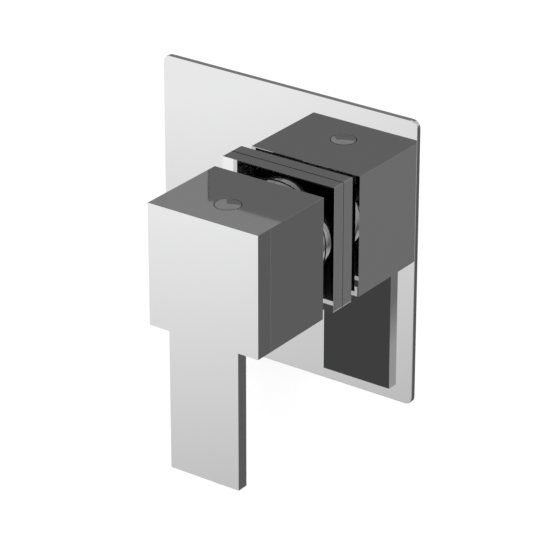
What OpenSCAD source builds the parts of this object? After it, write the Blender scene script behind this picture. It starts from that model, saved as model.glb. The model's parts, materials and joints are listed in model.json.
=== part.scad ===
// Concealed single-lever shower valve for a wall. The brass body, its inlets
// and the ceramic-disc cartridge sit in the wall, and the square plate,
// sleeve, round cap and lever handle stand in front of it.
// X runs right, Z up and Y into the wall. The wall's surface is y = 0 and the
// origin is where the valve's axis meets it.

/* [Wall plate] */
// Side of the square wall plate
plate_w = 120; // [100:1:150]
// Thickness of the wall plate
plate_t = 2; // [1.9:0.1:5]
// Radius of the plate's corners
plate_corner_r = 5; // [2:0.5:12]
// Depth of the recess in the plate's back
plate_recess_t = 1; // [0.6:0.1:1.4]
// Width of the rim that touches the wall
plate_rim_w = 4; // [3:0.5:8]
// Width of the foam gasket inside the rim
gasket_w = 6; // [3:0.5:10]

/* [Square sleeve] */
// Side of the square sleeve
sleeve_w = 53.4; // [53:0.1:60]
// How far the sleeve stands out of the plate
sleeve_stand = 6.2; // [4:0.1:12]
// Length of the sleeve behind the wall's surface
sleeve_tail = 9; // [6:0.5:12]
// Radius of the sleeve's corners
sleeve_corner_r = 1.2; // [0.5:0.1:3]
// Width of the square rubber ring round the sleeve
sleeve_seal_w = 4.2; // [2:0.1:8]
// Thickness of the square rubber ring behind the plate
sleeve_seal_t = 2.5; // [2:0.1:5]

/* [Round cap] */
// Outer radius of the round cap
cap_r = 22.8; // [21.8:0.1:23.2]
// How far the cap stands out of the sleeve
cap_stand = 13; // [11:0.5:14]
// Radius of the cap's rounded shoulder
cap_shoulder_r = 10; // [6:0.5:11]
// Wall of the cap
cap_wall = 1.5; // [1:0.1:1.7]
// Radius of the hole that the stem comes through
cap_hole_r = 9.6; // [9:0.1:10.5]

/* [Handle] */
// Width of the handle's block
handle_w = 52; // [50:0.5:60]
// Height of the handle's block
handle_h = 52; // [50:0.5:60]
// Depth of the handle's block
handle_d = 43; // [40:0.5:55]
// Gap between the sleeve's face and the handle's back
handle_gap = 6.1; // [5.5:0.1:12]
// How far the block's centre hangs below the valve's axis
handle_drop = 1.3; // [0:0.1:1.6]
// Wall of the block's sides
handle_wall = 1.9; // [1.6:0.1:2.1]
// Radius of the block's inner corners
handle_inner_r = 3; // [1:0.5:5]
// Width of the flat lever
lever_w = 33; // [20:0.5:44]
// Length of the lever below the block
lever_len = 60; // [30:1:90]
// Thickness of the lever and of the block's front wall
lever_t = 5.2; // [4:0.1:7]
// How far the lever tilts out of the closed position, in degrees
lever_tilt = 12.5; // [6:0.5:12.5]
// Radius of the boss that holds the stem
boss_r = 10; // [9.5:0.1:11]
// Gap between the round cap and the boss behind it
boss_gap = 5; // [4:0.5:8]
// How far the plug on top lies behind the handle's front
index_setback = 16.4; // [13:0.1:20]
// Radius of the plug that covers the grub screw
index_r = 5.5; // [4.5:0.1:6]
// Thickness of the plug
index_t = 2.4; // [1.8:0.1:3]
// How far the plug stands proud of the block's top
index_proud = 0.3; // [0.2:0.1:0.8]

/* [Stem] */
// Side of the square stem
stem_w = 8; // [7:0.1:8.4]
// Outer side of the plastic bush round the stem
bush_w = 11; // [10.6:0.1:11.4]
// Height of the hinge pin above the cartridge's shoulder
pivot_rise = 8; // [7:0.1:9]
// Length of the arm from the hinge pin to the ball
arm_len = 14; // [13.8:0.1:14.4]
// Radius of the hinge pin
pin_r = 2; // [1.6:0.1:2.3]
// Radius of the ball at the stem's inner end
ball_r = 3.2; // [3:0.1:3.4]
// Radius of the grub screw
grub_r = 2.5; // [2:0.5:2.5]
// Length of the grub screw
grub_len = 8; // [6:0.5:9]
// How far the stem turns to each side before its stop, in degrees
turn_limit = 45; // [20:5:50]

/* [Cartridge] */
// Outer radius of the cartridge's housing
cartridge_r = 20; // [19.6:0.1:20.4]
// Wall of the cartridge's housing
shell_wall = 1.3; // [1:0.1:1.4]
// Thickness of the housing's shoulder under the nut
shoulder_t = 3; // [2.5:0.1:4]
// Outer radius of the housing's neck
neck_r = 15.5; // [15:0.1:16]
// Wall of the housing's neck
neck_wall = 2.4; // [2:0.1:2.8]
// Thickness of the turning part's flange
rotor_flange_t = 4; // [3:0.1:5]
// Thickness of the plate that carries the moving disc
carrier_t = 3.5; // [3:0.1:4]
// Radius of the moving ceramic disc
moving_disc_r = 14.9; // [14.4:0.1:15]
// Thickness of the moving ceramic disc
moving_disc_t = 5; // [4:0.1:6]
// Radius of the fixed ceramic disc
fixed_disc_r = 16.6; // [16:0.1:16.8]
// Thickness of the fixed ceramic disc
fixed_disc_t = 4; // [3:0.1:5]
// Thickness of the cartridge's base
base_t = 5; // [4.5:0.1:6]
// Sideways distance of the two inlet ports from the axis
inlet_port_x = 9; // [8.8:0.1:9.4]
// How far the two inlet ports lie below the axis
inlet_port_drop = 6; // [5.6:0.1:6.4]
// Radius of the two inlet ports
inlet_port_r = 3.5; // [3:0.1:3.6]
// Height of the outlet port above the axis
outlet_port_rise = 8; // [7.6:0.1:8.4]
// Radius of the outlet port
outlet_port_r = 4; // [3.5:0.1:4.2]
// Width of the two stops in the housing
stop_w = 5; // [3:0.5:7]
// How far the two stops reach in from the housing's wall
stop_t = 1.8; // [1.2:0.1:2]
// Width of the two clips that hold the base in the housing
clip_w = 6; // [4:0.5:9]

/* [Valve body] */
// How far the retaining nut is wider than the cartridge
nut_step = 2; // [1.6:0.1:2.4]
// Length of the nut's threaded part
nut_t = 5.6; // [5:0.1:6.5]
// Outer radius of the body's barrel
barrel_r = 27.5; // [26.5:0.5:32]
// Wall of the front collar behind the sleeve
collar_wall = 2.9; // [2.6:0.1:3]
// How far the collar reaches in front of the wall's surface
collar_reach = 1; // [0.5:0.1:1.5]
// Length of the front collar
collar_len = 11; // [10.5:0.1:13]
// Distance of each port's face from the valve's axis
port_reach = 42; // [38:0.5:55]
// Radius inside each port's thread
port_thread_r = 9.32; // [9.32:0.01:9.4]
// Length of each port's thread
port_thread_len = 14; // [11:0.5:16]
// Radius of the waterway behind each thread
waterway_r = 6.5; // [5.5:0.1:6.6]
// Width across the flats of each port's hexagon
port_flats = 27; // [26:0.5:30]
// Length of each port's hexagon
port_hex_len = 11; // [8:0.5:13]
// Distance between the two fixing holes
fixing_spacing = 76; // [74:1:90]
// Radius of the fixing holes
fixing_hole_r = 2.75; // [2:0.05:3.2]
// How far the fixing lugs lie behind the collar
lug_setback = 6; // [2:0.5:8]
// Radius of the fixing lugs' rounded ends
lug_r = 8; // [6.5:0.5:10]
// Thickness of the fixing lugs
lug_t = 5; // [4:0.5:7]
// Thickness of the ribs under the fixing lugs
rib_t = 3; // [2:0.5:4]
// Radius across the corners of the bottom plug's hexagon
plug_head_r = 12.5; // [11:0.5:14]
// Thickness of the bottom plug's hexagon
plug_head_t = 6; // [4:0.5:9]
// Thickness of the washer under the bottom plug
washer_t = 1.5; // [1:0.1:2.5]

/* [Hidden] */
$fn = 72;

// One overrun for every cut, and the clearances between pieces
over = 1;
film = 0.05;
running = 0.05;
slack = 0.1;
gap = 0.3;

// Places along the axis, counted outwards from the wall's surface
sleeve_front = plate_t + sleeve_stand;
collar_front = collar_reach;
collar_back = collar_front - collar_len;
cap_front = sleeve_front + cap_stand;
handle_back = sleeve_front + handle_gap;
handle_front = handle_back + handle_d;
nut_proud = 0.5;
nut_front = collar_front + nut_proud;
shoulder_front = nut_front - nut_t;
shoulder_back = shoulder_front - shoulder_t;
rotor_front = shoulder_back - gap;
rotor_back = rotor_front - rotor_flange_t;
carrier_front = rotor_back - gap;
carrier_back = carrier_front - carrier_t;
moving_back = carrier_back - moving_disc_t;
fixed_front = moving_back - film;
fixed_back = fixed_front - fixed_disc_t;
seal_proud = 0.3;
base_front = fixed_back - seal_proud;
base_back = base_front - base_t;
chamber_floor = base_back - seal_proud;
pivot_out = shoulder_front + pivot_rise;
ball_out = pivot_out - arm_len;
shell_neck_front = pivot_out + pin_r + 2 * gap;
rotor_neck_front = shell_neck_front + nut_proud;

// Body
nut_r = cartridge_r + nut_step;
collar_bore_r = nut_r + slack;
collar_r = collar_bore_r + collar_wall;
chamber_r = cartridge_r + slack;
floor_t = 4.5;
port_out = chamber_floor - floor_t - waterway_r;
port_boss_r = port_flats / 2;
body_back = port_out - port_boss_r;
body_edge = 3;
collar_edge = 0.6;
hex_mouth = 0.5;
bridge_r = 3.5;
lug_out = collar_back - lug_setback;
rib_back = port_out + port_boss_r - body_edge;
rib_end = fixing_spacing / 2 - fixing_hole_r - rib_t / 2;
peg_r = 1.8;
peg_len = 2.6;
peg_x = 14;
peg_rise = 6;

// Bottom plug
plug_gap = 0.6;
plug_socket_flats = 8;
plug_socket_t = 4;
washer_inset = 0.5;

// Seals of the cartridge
seal_section = 1.3;
seal_groove_t = 1.5;

// Round sealing rings and their grooves
groove_side = 0.5;
collar_ring_r = 1;
collar_ring_inset = 3.75;
cap_ring_r = 0.9;
rotor_ring_r = 0.8;
rotor_ring_inset = 2.2;

// Nut, cap and sleeve
cap_bore_r = cap_r - cap_wall;
spigot_r = cap_bore_r - gap;
spigot_len = 5.4;
nut_slot_w = 4;
nut_slot_t = 1.8;
cap_ring_out = nut_front + cap_ring_r + groove_side + gap;
sleeve_bore_r = collar_r + slack;
sleeve_lead = 1;

// Shell and turning parts
arm_r = 2.3;
shell_bore_r = cartridge_r - shell_wall;
neck_bore_r = neck_r - neck_wall;
skirt_lap = 2;
rim_t = 3;
rotor_flange_r = shell_bore_r - gap;
rotor_r = neck_bore_r - running;
travel = arm_len * lever_tilt * PI / 180;
stem_slot_w = stem_w + 2 * slack;
stem_slot_h = 2 * (arm_r + arm_len * sin(lever_tilt) + gap);
carrier_block_w = 12;
carrier_play = 0.6;
carrier_block_t = rotor_flange_t - gap;
pocket_r = 7.2;
pocket_t = 2.5;
pocket_rise_share = 0.75;
pin_inset = 1;
pin_len = 2 * (rotor_r - pin_inset);
stop_r = shell_bore_r - stop_t;
turn_play = 1;
stop_sweep = turn_limit + asin(stop_w / 2 / stop_r) + turn_play;
clip_len = 2;
clip_back = base_front + gap;
clip_front = clip_back + clip_len;
key_w = 4;
key_t = 1.4;
key_len = 2;

// Handle
handle_top = handle_h / 2 - handle_drop;
handle_bottom = -handle_h / 2 - handle_drop;
cavity_front = handle_front - lever_t;
boss_back = cap_front + boss_gap;
bush_front = cavity_front - gap;
stem_front = bush_front - gap;
grub_out = handle_front - index_setback;
column_wall = 1.4;
column_r = index_r + column_wall;
socket_flats = 2.5;
socket_t = 3;

// A shape drawn with Z outwards and Y up, turned to stand out of the wall
module stand() {
    rotate([90, 0, 0]) children();
}

module rod(r, from, to) {
    translate([0, 0, from]) cylinder(r = r, h = to - from);
}

module tube(r, bore, from, to) {
    difference() {
        rod(r, from, to);
        rod(bore, from - over, to + over);
    }
}

// A six-sided bar of a given width across its flats
module hexagon(flats, h) {
    rotate([0, 0, 30]) cylinder(r = flats / 2 / cos(30), h = h, $fn = 6);
}

// A round sealing ring that seals against a bore
module ring(bore, section, place) {
    translate([0, 0, place]) rotate_extrude()
        translate([bore - film - section, 0]) circle(r = section, $fn = 24);
}

// The groove that such a ring lies in
module groove(bore, section, place) {
    tube(bore + over, bore - 2 * film - 2 * section, place - section - groove_side,
        place + section + groove_side);
}

// A wedge round the X axis that reaches a given angle to each side
module wedge(angle, reach, from, to) {
    translate([0, 0, from]) linear_extrude(to - from) polygon([
        [0, 0],
        for (share = [-1, -1 / 3, 1 / 3, 1]) reach * [cos(share * angle), sin(share * angle)]
    ]);
}

// Two like bars at the top and bottom of a round part, between two radii
module top_and_bottom(w, inner, outer, from, to) {
    for (turn = [90, 270]) rotate([0, 0, turn]) translate([(inner + outer) / 2, 0, 0])
        block(outer - inner, w, from, to);
}

// A square with rounded corners, made of two bars and four discs
module rounded_square(w, h, r) {
    square([w - 2 * r, h], center = true);
    square([w, h - 2 * r], center = true);
    for (sx = [-1, 1], sy = [-1, 1])
        translate([sx * (w / 2 - r), sy * (h / 2 - r)]) circle(r = r, $fn = 32);
}

module rounded_block(w, h, r, from, to) {
    translate([0, 0, from]) linear_extrude(to - from) rounded_square(w, h, r);
}

module block(w, h, from, to) {
    translate([-w / 2, -h / 2, from]) cube([w, h, to - from]);
}

// The places of the three ports, looking at the cartridge from the front
module at_ports() {
    for (side = [-1, 1]) translate([side * inlet_port_x, -inlet_port_drop, 0]) children(0);
    translate([0, outlet_port_rise, 0]) children(1);
}

module ports(from, to) {
    at_ports() {
        rod(inlet_port_r, from, to);
        rod(outlet_port_r, from, to);
    }
}

module port_seal(r, from, to) {
    tube(r + seal_section, r, from, to);
}

// A boss on one side of the body with a hexagon at its mouth
module port_boss() {
    mouth_r = port_flats / 2 + hex_mouth;
    rod(port_boss_r - body_edge / 2, 0, port_reach);
    translate([0, 0, port_reach - port_hex_len]) intersection() {
        hexagon(port_flats, port_hex_len);
        translate([0, 0, -over])
            cylinder(r1 = mouth_r + port_hex_len + over, r2 = mouth_r, h = port_hex_len + over);
    }
}

module port_bore(from) {
    rod(waterway_r, from, port_reach);
    rod(port_thread_r, port_reach - port_thread_len, port_reach + over);
}

// Turns a port drawn along Z to the left, right, top or bottom of the body
module towards(side) {
    translate([0, 0, port_out]) {
        if (side == "left") rotate([0, -90, 0]) children();
        if (side == "right") rotate([0, 90, 0]) children();
        if (side == "top") rotate([-90, 0, 0]) children();
        if (side == "bottom") rotate([90, 0, 0]) children();
    }
}

module lugs() {
    for (side = [-1, 1]) {
        translate([side * fixing_spacing / 2, 0, lug_out - lug_t]) cylinder(r = lug_r, h = lug_t);
        translate([min(0, side * fixing_spacing / 2), -lug_r, lug_out - lug_t])
            cube([fixing_spacing / 2, 2 * lug_r, lug_t]);
    }
}

// Ribs that carry each lug on the port's boss behind it
module ribs() {
    for (side = [-1, 1], edge = [-1, 1])
        translate([side * rib_end / 2, edge * (lug_r - rib_t), 0])
            block(rib_end, rib_t, rib_back - body_edge, lug_out - lug_t / 2);
}

module body_solid() {
    rotate_extrude() polygon([
        [0, body_back],
        [barrel_r - 2 * body_edge, body_back],
        [barrel_r - body_edge, body_back + body_edge],
        [barrel_r - body_edge, chamber_floor - floor_t],
        [barrel_r, chamber_floor],
        [barrel_r, collar_back - body_edge / 2],
        [barrel_r - body_edge / 2, collar_back],
        [collar_r, collar_back],
        [collar_r, collar_front - collar_edge],
        [collar_r - collar_edge, collar_front],
        [0, collar_front]
    ]);
    for (side = ["left", "right", "top", "bottom"]) towards(side) port_boss();
    lugs();
    ribs();
}

module valve_body() {
    color("goldenrod") stand() difference() {
        body_solid();
        rod(chamber_r, chamber_floor, collar_front + over);
        rod(collar_bore_r, shoulder_front - gap, collar_front + over);
        ports(port_out, chamber_floor + over);
        for (side = [-1, 1]) {
            translate([side * peg_x, peg_rise, 0])
                rod(peg_r + slack, chamber_floor - peg_len - gap, chamber_floor + over);
            translate([side * fixing_spacing / 2, 0, 0])
                rod(fixing_hole_r, lug_out - lug_t - over, lug_out + over);
        }
        for (side = ["left", "right"])
            towards(side) port_bore(inlet_port_x - inlet_port_r / 2);
        towards("top") port_bore(outlet_port_rise);
        towards("bottom") {
            port_bore(waterway_r + bridge_r);
            rod(bridge_r, -outlet_port_rise - over, port_reach);
        }
        for (place = [collar_front - collar_ring_inset, collar_back + collar_ring_inset])
            groove(sleeve_bore_r, collar_ring_r, place);
    }
}

module bottom_plug() {
    color("goldenrod") stand() towards("bottom") {
        rod(port_thread_r - slack, port_reach - port_thread_len + plug_gap, port_reach + washer_t);
        translate([0, 0, port_reach + washer_t]) difference() {
            cylinder(r = plug_head_r, h = plug_head_t, $fn = 6);
            translate([0, 0, plug_head_t - plug_socket_t])
                hexagon(plug_socket_flats, plug_socket_t + over);
        }
    }
}

module plug_washer() {
    color("firebrick") stand() towards("bottom")
        tube(plug_head_r - washer_inset, port_thread_r + slack, port_reach, port_reach + washer_t);
}

module port_seals() {
    color("dimgray") stand() at_ports() {
        port_seal(inlet_port_r, chamber_floor, base_back + seal_groove_t);
        port_seal(outlet_port_r, chamber_floor, base_back + seal_groove_t);
    }
}

module disc_seals() {
    color("dimgray") stand() at_ports() {
        port_seal(inlet_port_r, base_front - seal_groove_t, fixed_back);
        port_seal(outlet_port_r, base_front - seal_groove_t, fixed_back);
    }
}

module cartridge_base() {
    color("ivory") stand() difference() {
        union() {
            rod(cartridge_r, base_back, base_front - skirt_lap);
            rod(shell_bore_r - slack, base_back, base_front);
            tube(shell_bore_r - slack, fixed_disc_r + slack, base_front - over, base_front + rim_t);
            for (side = [-1, 1]) {
                translate([side * peg_x, peg_rise, 0]) rod(peg_r, base_back - peg_len, base_back + over);
                translate([side * fixed_disc_r, 0, 0])
                    block(2 * key_t, key_w - 2 * slack, base_front - over, base_front + rim_t);
            }
            top_and_bottom(clip_w, (fixed_disc_r + shell_bore_r) / 2, cartridge_r - gap, clip_back,
                clip_front);
        }
        ports(base_back - over, base_front + over);
        at_ports() {
            union() {
                rod(inlet_port_r + seal_section + slack, base_back - over, base_back + seal_groove_t);
                rod(inlet_port_r + seal_section + slack, base_front - seal_groove_t, base_front + over);
            }
            union() {
                rod(outlet_port_r + seal_section + slack, base_back - over, base_back + seal_groove_t);
                rod(outlet_port_r + seal_section + slack, base_front - seal_groove_t, base_front + over);
            }
        }
    }
}

module fixed_disc() {
    color("white") stand() difference() {
        rod(fixed_disc_r, fixed_back, fixed_front);
        ports(fixed_back - over, fixed_front + over);
        for (side = [-1, 1]) translate([side * fixed_disc_r, 0, 0])
            block(2 * key_t + 2 * slack, key_w, fixed_back - over, fixed_front + over);
    }
}

module cartridge_shell() {
    color("whitesmoke") stand() difference() {
        union() {
            rod(cartridge_r, base_front - skirt_lap + film, shoulder_front);
            rod(neck_r, shoulder_front - over, shell_neck_front);
        }
        difference() {
            rod(shell_bore_r, base_front - skirt_lap - over, shoulder_back);
            for (side = [-1, 1]) translate([side * (shell_bore_r - stop_t / 2 + over / 2), 0, 0])
                block(stop_t + over, stop_w, rotor_back, shoulder_back + over);
        }
        rod(neck_bore_r, shoulder_back - over, shell_neck_front + over);
        top_and_bottom(clip_w + 2 * slack, shell_bore_r - over, cartridge_r + over,
            clip_back - slack, clip_front + slack);
    }
}

module retaining_nut() {
    color("goldenrod") stand() difference() {
        union() {
            rod(nut_r, shoulder_front, nut_front);
            rod(spigot_r, nut_front - over, nut_front + spigot_len);
        }
        rod(neck_r + slack, shoulder_front - over, nut_front + spigot_len + over);
        for (turn = [0 : 60 : 300]) rotate([0, 0, turn])
            translate([neck_r, -nut_slot_w / 2, nut_front + spigot_len - nut_slot_t])
                cube([cap_r, nut_slot_w, nut_slot_t + over]);
        groove(cap_bore_r, cap_ring_r, cap_ring_out);
    }
}

module cap_oring() {
    color("dimgray") stand() ring(cap_bore_r, cap_ring_r, cap_ring_out);
}

module dome_cap() {
    top_r = cap_r - cap_shoulder_r;
    inner_shoulder_r = cap_shoulder_r - cap_wall;
    color("silver") stand() rotate_extrude() difference() {
        union() {
            translate([0, nut_front]) square([cap_r, cap_front - cap_shoulder_r - nut_front]);
            translate([0, nut_front]) square([top_r, cap_front - nut_front]);
            intersection() {
                translate([top_r, cap_front - cap_shoulder_r]) circle(r = cap_shoulder_r);
                translate([top_r - over, cap_front - cap_shoulder_r - over])
                    square([cap_shoulder_r + 2 * over, cap_shoulder_r + 2 * over]);
            }
        }
        translate([0, nut_front - over])
            square([cap_bore_r, cap_front - cap_shoulder_r - nut_front + over]);
        translate([0, nut_front - over])
            square([top_r, cap_front - cap_wall - nut_front + over]);
        intersection() {
            translate([top_r, cap_front - cap_shoulder_r]) circle(r = inner_shoulder_r);
            translate([top_r - over, cap_front - cap_shoulder_r - over])
                square([cap_shoulder_r + over, cap_shoulder_r + over]);
        }
        square([cap_hole_r, cap_front + over]);
    }
}

module collar_orings() {
    color("dimgray") stand()
        for (place = [collar_front - collar_ring_inset, collar_back + collar_ring_inset])
            ring(sleeve_bore_r, collar_ring_r, place);
}

module square_sleeve() {
    color("silver") stand() difference() {
        rounded_block(sleeve_w, sleeve_w, sleeve_corner_r, -sleeve_tail, sleeve_front);
        rod(sleeve_bore_r, -sleeve_tail - over, collar_front + gap);
        translate([0, 0, -sleeve_tail - over]) cylinder(r1 = sleeve_bore_r + sleeve_lead + over,
            r2 = sleeve_bore_r - over, h = sleeve_lead + 2 * over);
        rod(cap_r + gap, -sleeve_tail, sleeve_front + over);
    }
}

module sleeve_seal() {
    side = sleeve_w + slack;
    color("dimgray") stand() difference() {
        rounded_block(side + 2 * sleeve_seal_w, side + 2 * sleeve_seal_w, sleeve_seal_w,
            plate_recess_t - sleeve_seal_t, plate_recess_t);
        rounded_block(side, side, sleeve_corner_r, plate_recess_t - sleeve_seal_t - over,
            plate_recess_t + over);
    }
}

module wall_plate() {
    hole_w = sleeve_w + 2 * gap;
    recess_w = plate_w - 2 * plate_rim_w;
    color("silver") stand() difference() {
        rounded_block(plate_w, plate_w, plate_corner_r, 0, plate_t);
        rounded_block(hole_w, hole_w, sleeve_corner_r, -over, plate_t + over);
        rounded_block(recess_w, recess_w, plate_corner_r / 2, -over, plate_recess_t);
    }
}

module plate_gasket() {
    outer_w = plate_w - 2 * plate_rim_w - 2 * slack;
    color("gray") stand() difference() {
        rounded_block(outer_w, outer_w, plate_corner_r / 2, 0, plate_recess_t);
        rounded_block(outer_w - 2 * gasket_w, outer_w - 2 * gasket_w, plate_corner_r / 2, -over,
            plate_recess_t + over);
    }
}

module rotor() {
    color("ivory") stand() difference() {
        union() {
            rod(rotor_flange_r, rotor_back, rotor_front);
            rod(rotor_r, rotor_back, rotor_neck_front);
        }
        block(stem_slot_w, stem_slot_h, rotor_back - over, rotor_neck_front + over);
        translate([0, -travel / 2, 0])
            block(carrier_block_w + 2 * slack, carrier_block_w + travel + 2 * carrier_play,
                rotor_back - over, rotor_back + carrier_block_t + gap);
        translate([0, 0, pivot_out]) rotate([0, 90, 0])
            rod(pin_r, -rotor_r - over, rotor_r + over);
        groove(neck_bore_r, rotor_ring_r, rotor_front + rotor_ring_inset);
        intersection() {
            tube(rotor_flange_r + over, stop_r - gap, rotor_back - over, rotor_front + over);
            for (turn = [0, 180]) rotate([0, 0, turn])
                wedge(stop_sweep, 2 * rotor_flange_r, rotor_back - 2 * over, rotor_front + 2 * over);
        }
    }
}

module rotor_oring() {
    color("dimgray") stand() ring(neck_bore_r, rotor_ring_r, rotor_front + rotor_ring_inset);
}

module pivot_pin() {
    color("silver") stand() translate([0, 0, pivot_out]) rotate([0, 90, 0])
        rod(pin_r, -pin_len / 2, pin_len / 2);
}

module disc_carrier() {
    color("ivory") stand() {
        difference() {
            union() {
                rod(moving_disc_r, carrier_back, carrier_front);
                block(carrier_block_w, carrier_block_w, carrier_front - over,
                    rotor_back + carrier_block_t);
            }
            rod(ball_r + slack, ball_out - ball_r - gap, rotor_back + carrier_block_t + over);
        }
        for (side = [-1, 1]) translate([side * (moving_disc_r - key_t), 0, 0])
            block(key_t, key_w - 2 * slack, carrier_back - key_len, carrier_back + over);
    }
}

// The ceramic disc with the blind pocket that joins the ports
module moving_disc() {
    color("white") stand() difference() {
        rod(moving_disc_r, moving_back, carrier_back);
        for (side = [-1, 1]) translate([side * moving_disc_r, 0, 0])
            block(3 * key_t + 2 * slack, key_w, carrier_back - key_len - gap, carrier_back + over);
        rod(pocket_r, moving_back - over, moving_back + pocket_t);
        translate([0, outlet_port_rise * pocket_rise_share, 0])
            rod(outlet_port_r + over, moving_back - over, moving_back + pocket_t);
    }
}

module lever_handle() {
    color("gainsboro") stand() difference() {
        union() {
            difference() {
                translate([0, -handle_drop, 0]) block(handle_w, handle_h, handle_back, handle_front);
                translate([0, -handle_drop, 0])
                    rounded_block(handle_w - 2 * handle_wall, handle_h - 2 * handle_wall,
                        handle_inner_r, handle_back - over, cavity_front);
            }
            rod(boss_r, boss_back, cavity_front + over);
            translate([0, 0, grub_out]) rotate([-90, 0, 0])
                rod(column_r, 0, handle_top - handle_wall / 2);
            translate([-lever_w / 2, handle_bottom - lever_len, cavity_front])
                cube([lever_w, lever_len + over, lever_t]);
        }
        block(bush_w + 2 * film, bush_w + 2 * film, boss_back - over, bush_front + gap / 2);
        translate([0, 0, grub_out]) rotate([-90, 0, 0]) {
            rod(grub_r + running, 0, stem_w / 2 + grub_len + over);
            rod(grub_r + gap, stem_w / 2 + grub_len, handle_top);
            rod(index_r, handle_top + index_proud - index_t - slack, handle_top + over);
        }
    }
}

module stem_bush() {
    color("lightgray") stand() difference() {
        block(bush_w, bush_w, boss_back, bush_front);
        block(stem_w + 2 * film, stem_w + 2 * film, boss_back - over, bush_front + over);
        translate([0, 0, grub_out]) rotate([-90, 0, 0]) rod(grub_r + running, 0, bush_w);
    }
}

module stem() {
    color("goldenrod") stand() difference() {
        union() {
            block(stem_w, stem_w, pivot_out - stem_w / 2, stem_front);
            rod(arm_r, ball_out, pivot_out);
            translate([0, 0, ball_out]) sphere(r = ball_r);
        }
        translate([0, 0, pivot_out]) rotate([0, 90, 0]) rod(pin_r + running, -stem_w, stem_w);
    }
}

module grub_screw() {
    color("dimgray") stand() translate([0, 0, grub_out]) rotate([-90, 0, 0]) difference() {
        rod(grub_r, stem_w / 2 + film, stem_w / 2 + grub_len);
        translate([0, 0, stem_w / 2 + grub_len - socket_t])
            hexagon(socket_flats, socket_t + over);
    }
}

module index_plug() {
    edge = index_proud;
    color("silver") stand() translate([0, 0, grub_out]) rotate([-90, 0, 0])
        translate([0, 0, handle_top + index_proud - index_t]) rotate_extrude() polygon([
            [0, 0],
            [index_r - slack, 0],
            [index_r - slack, index_t - edge],
            [index_r - slack - edge, index_t],
            [0, index_t]
        ]);
}

valve_body();
bottom_plug();
plug_washer();
port_seals();
cartridge_base();
disc_seals();
fixed_disc();
cartridge_shell();
retaining_nut();
cap_oring();
dome_cap();
collar_orings();
square_sleeve();
sleeve_seal();
wall_plate();
plate_gasket();
rotor();
rotor_oring();
pivot_pin();
disc_carrier();
moving_disc();
lever_handle();
stem_bush();
stem();
grub_screw();
index_plug();
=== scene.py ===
import json
import math
import bpy
import bmesh
from mathutils import Matrix, Vector


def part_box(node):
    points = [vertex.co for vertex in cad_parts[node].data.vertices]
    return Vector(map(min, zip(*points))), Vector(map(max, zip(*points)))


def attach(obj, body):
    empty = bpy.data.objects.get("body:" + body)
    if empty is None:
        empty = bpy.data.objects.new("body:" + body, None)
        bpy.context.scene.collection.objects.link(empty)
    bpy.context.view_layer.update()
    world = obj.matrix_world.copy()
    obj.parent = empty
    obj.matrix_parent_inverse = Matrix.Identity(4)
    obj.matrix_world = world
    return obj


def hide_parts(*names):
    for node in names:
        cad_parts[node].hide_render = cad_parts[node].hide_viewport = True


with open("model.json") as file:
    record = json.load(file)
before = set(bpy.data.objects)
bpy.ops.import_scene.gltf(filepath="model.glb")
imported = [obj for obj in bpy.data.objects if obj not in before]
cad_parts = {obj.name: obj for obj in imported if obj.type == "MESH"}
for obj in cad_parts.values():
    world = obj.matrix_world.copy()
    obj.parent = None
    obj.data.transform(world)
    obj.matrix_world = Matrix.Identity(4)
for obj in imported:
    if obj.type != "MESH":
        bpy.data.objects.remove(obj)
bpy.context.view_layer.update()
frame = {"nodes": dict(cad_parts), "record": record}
nodes = frame["nodes"]
mm = 0.001

# The camera stands at the photo's viewing angle, right of and above the valve
camera = {
    "position": (645.7 * mm, -913.0 * mm, 513.0 * mm),
    "turn": 35.67,       # degrees to the right of straight ahead
    "tilt": 25.43,       # degrees down
    "lens": 208.25,
    "sensor": 36.0,
    "nearest": 0.05,
    "farthest": 40.0,
}


def makeCamera(settings):
    data = bpy.data.cameras.new("photoCamera")
    data.lens = settings["lens"]
    data.sensor_width = settings["sensor"]
    data.clip_start = settings["nearest"]
    data.clip_end = settings["farthest"]
    eye = bpy.data.objects.new("photoCamera", data)
    eye.location = settings["position"]
    eye.rotation_euler = (math.radians(90 - settings["tilt"]), 0, math.radians(settings["turn"]))
    bpy.context.scene.collection.objects.link(eye)
    bpy.context.scene.camera = eye


makeCamera(camera)
print("camera placed")


# Small helpers for shader nodes

def addNode(tree, kind, **values):
    node = tree.nodes.new(kind)
    for name, value in values.items():
        setattr(node, name, value)
    return node


# Give a socket a value, or a link where the value is another node's output
def feed(tree, value, socket):
    if isinstance(value, bpy.types.NodeSocket):
        tree.links.new(value, socket)
    else:
        socket.default_value = value


def mathNode(tree, operation, first, second=None, clamp=False):
    node = addNode(tree, "ShaderNodeMath", operation=operation, use_clamp=clamp)
    feed(tree, first, node.inputs[0])
    if second is not None:
        feed(tree, second, node.inputs[1])
    return node.outputs[0]


def times(tree, first, second):
    return mathNode(tree, "MULTIPLY", first, second)


def mapRange(tree, value, low, high, newLow, newHigh):
    node = addNode(tree, "ShaderNodeMapRange")
    feed(tree, value, node.inputs["Value"])
    for title, number in (("From Min", low), ("From Max", high), ("To Min", newLow), ("To Max", newHigh)):
        feed(tree, number, node.inputs[title])
    return node.outputs["Result"]


def vectorNode(tree, operation, first, second=None):
    node = addNode(tree, "ShaderNodeVectorMath", operation=operation)
    feed(tree, first, node.inputs[0])
    if second is not None:
        feed(tree, second, node.inputs[1])
    return node.outputs


def newGroup(name, inputs, outputs):
    tree = bpy.data.node_groups.new(name, "ShaderNodeTree")
    for title, kind, value in inputs:
        socket = tree.interface.new_socket(title, in_out="INPUT", socket_type=kind)
        socket.default_value = value
    for title, kind in outputs:
        tree.interface.new_socket(title, in_out="OUTPUT", socket_type=kind)
    return tree, addNode(tree, "NodeGroupInput").outputs, addNode(tree, "NodeGroupOutput").inputs


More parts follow.
